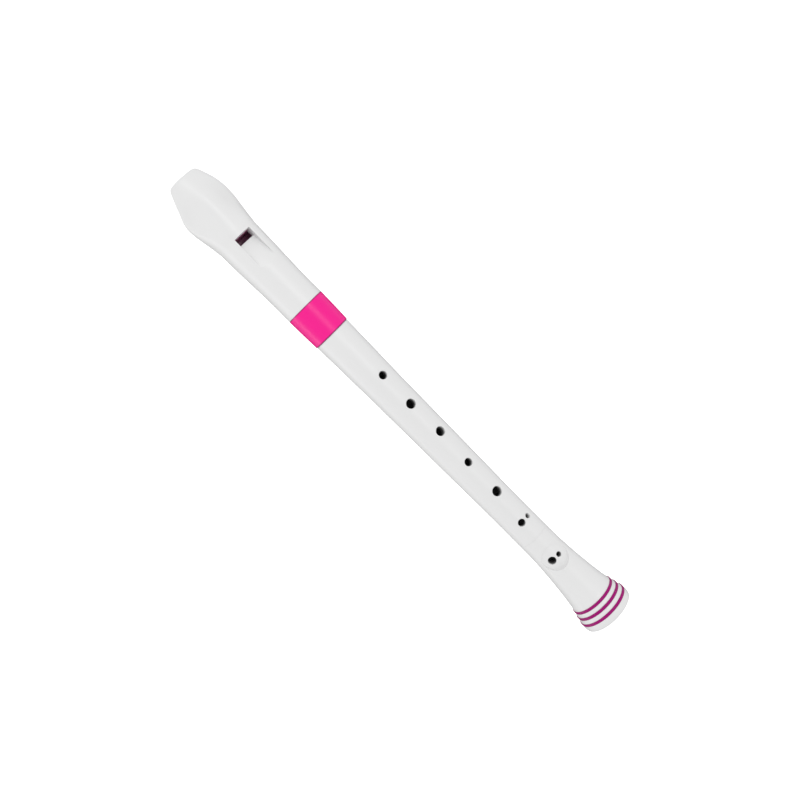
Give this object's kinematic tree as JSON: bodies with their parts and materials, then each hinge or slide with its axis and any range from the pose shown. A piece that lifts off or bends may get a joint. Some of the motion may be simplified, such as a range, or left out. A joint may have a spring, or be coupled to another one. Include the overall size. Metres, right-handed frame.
{
  "type": "soprano recorder",
  "caption": "Soprano recorder moulded in white plastic with a widened flat beak, a pink band at the head's socket, a slim tapering middle joint and a flared bell with pink rings.",
  "frame": {"origin": "centre of the bell's end face, which is the bottom centre of the whole recorder standing on its bell", "axes": "+Z along the air column from the bell to the beak; -Y is the front, where the finger holes face; +X is towards the player's left hand side"},
  "size_m": [0.0312, 0.0312, 0.3258],
  "materials": {
    "white_abs": "smooth moulded, soft gloss",
    "pink_abs": "smooth moulded, soft gloss",
    "magenta_abs": "smooth moulded, soft gloss",
    "seal_rubber": "matt, lightly greased"
  },
  "bodies": {
    "foot": {"foot_joint": "white_abs", "bell_ring_upper": "magenta_abs", "bell_ring_middle": "magenta_abs", "bell_ring_lower": "magenta_abs"},
    "foot_seal_ring": {"foot_seal": "seal_rubber"},
    "middle": {"body_joint": "white_abs"},
    "head_seal_rings": {"head_seal_upper": "seal_rubber", "head_seal_lower": "seal_rubber"},
    "head": {"head_shell": "white_abs", "fipple_block": "pink_abs", "head_liner": "pink_abs", "joint_band": "pink_abs"}
  },
  "joints": [
    {"name": "foot_pull", "type": "slide", "parent": "foot", "child": "foot_seal_ring", "axis": [0, 0, 1], "range_m": [0, 0.0105]},
    {"name": "foot_turn", "type": "hinge", "parent": "foot_seal_ring", "child": "middle", "pos_m": [0, 0, 0.0563], "axis": [0, 0, 1], "continuous": true},
    {"name": "head_turn", "type": "hinge", "parent": "middle", "child": "head_seal_rings", "pos_m": [0, 0, 0.2268], "axis": [0, 0, 1], "continuous": true},
    {"name": "head_pull", "type": "slide", "parent": "head_seal_rings", "child": "head", "axis": [0, 0, 1], "range_m": [0, 0.02]}
  ]
}
